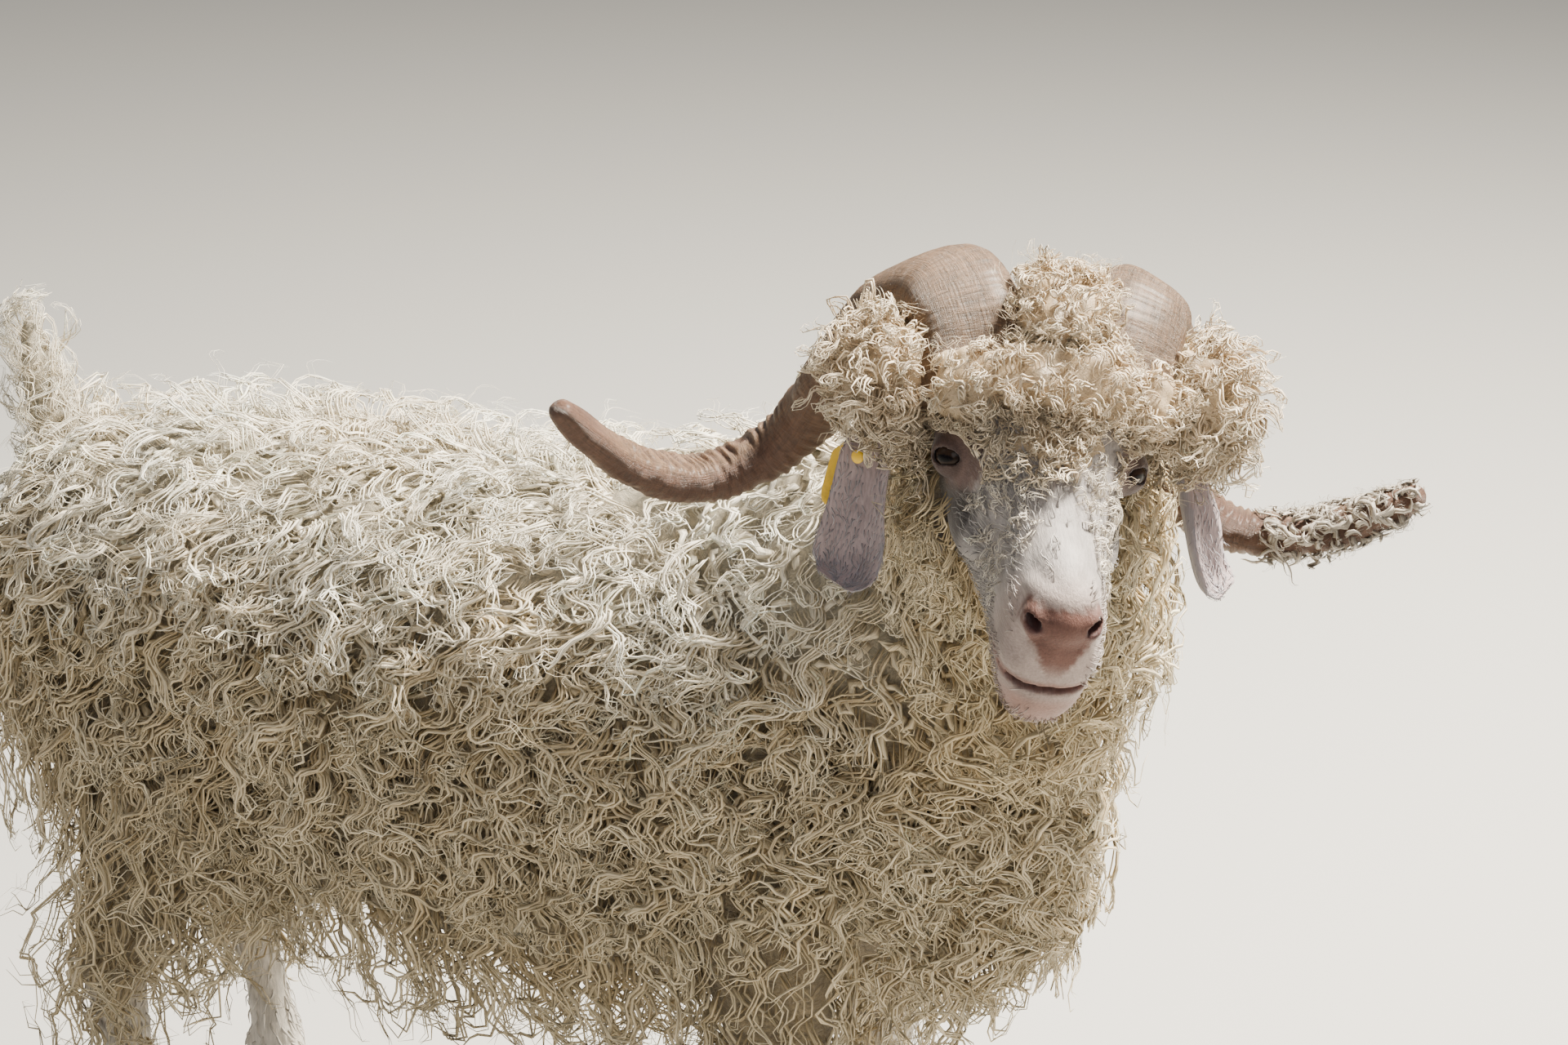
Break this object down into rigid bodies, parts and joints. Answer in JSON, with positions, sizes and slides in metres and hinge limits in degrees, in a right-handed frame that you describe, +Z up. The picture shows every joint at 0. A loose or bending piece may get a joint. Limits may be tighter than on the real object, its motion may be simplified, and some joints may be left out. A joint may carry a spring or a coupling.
{
  "type": "angora goat, still life-size model",
  "caption": "Life-size standing horned goat in a long curly fleece, head turned to its right, with hanging ears that carry tags.",
  "frame": {"origin": "middle of the bounding box in plan, at the height of the soles of the claws", "axes": "+X runs from the tail to the breast, the goat's left side is +Y, +Z up"},
  "size_m": [1.2284, 0.5972, 0.993],
  "materials": {
    "fleece": "lustrous ivory mohair ringlets",
    "short_hair": "short flat white hair",
    "horn": "ridged pinkish tan horn",
    "eye": "wet dark eye",
    "tag": "plain yellow plastic",
    "claw": "dull hoof horn"
  },
  "bodies": {
    "root": {"torso": "fleece", "neck": "fleece", "head": "fleece", "tail": "fleece", "leg_fore_left": "fleece", "leg_fore_right": "fleece", "leg_hind_left": "fleece", "leg_hind_right": "fleece", "shank_fore_left": "short_hair", "shank_fore_right": "short_hair", "shank_hind_left": "short_hair", "shank_hind_right": "short_hair", "ear_left": "short_hair", "ear_right": "short_hair", "horn_left": "horn", "horn_right": "horn", "eye_left": "eye", "eye_right": "eye", "tag_left": "tag", "tag_right": "tag", "claw_fore_left_inner": "claw", "claw_fore_left_outer": "claw", "claw_fore_right_inner": "claw", "claw_fore_right_outer": "claw", "claw_hind_left_inner": "claw", "claw_hind_left_outer": "claw", "claw_hind_right_inner": "claw", "claw_hind_right_outer": "claw"}
  },
  "joints": []
}
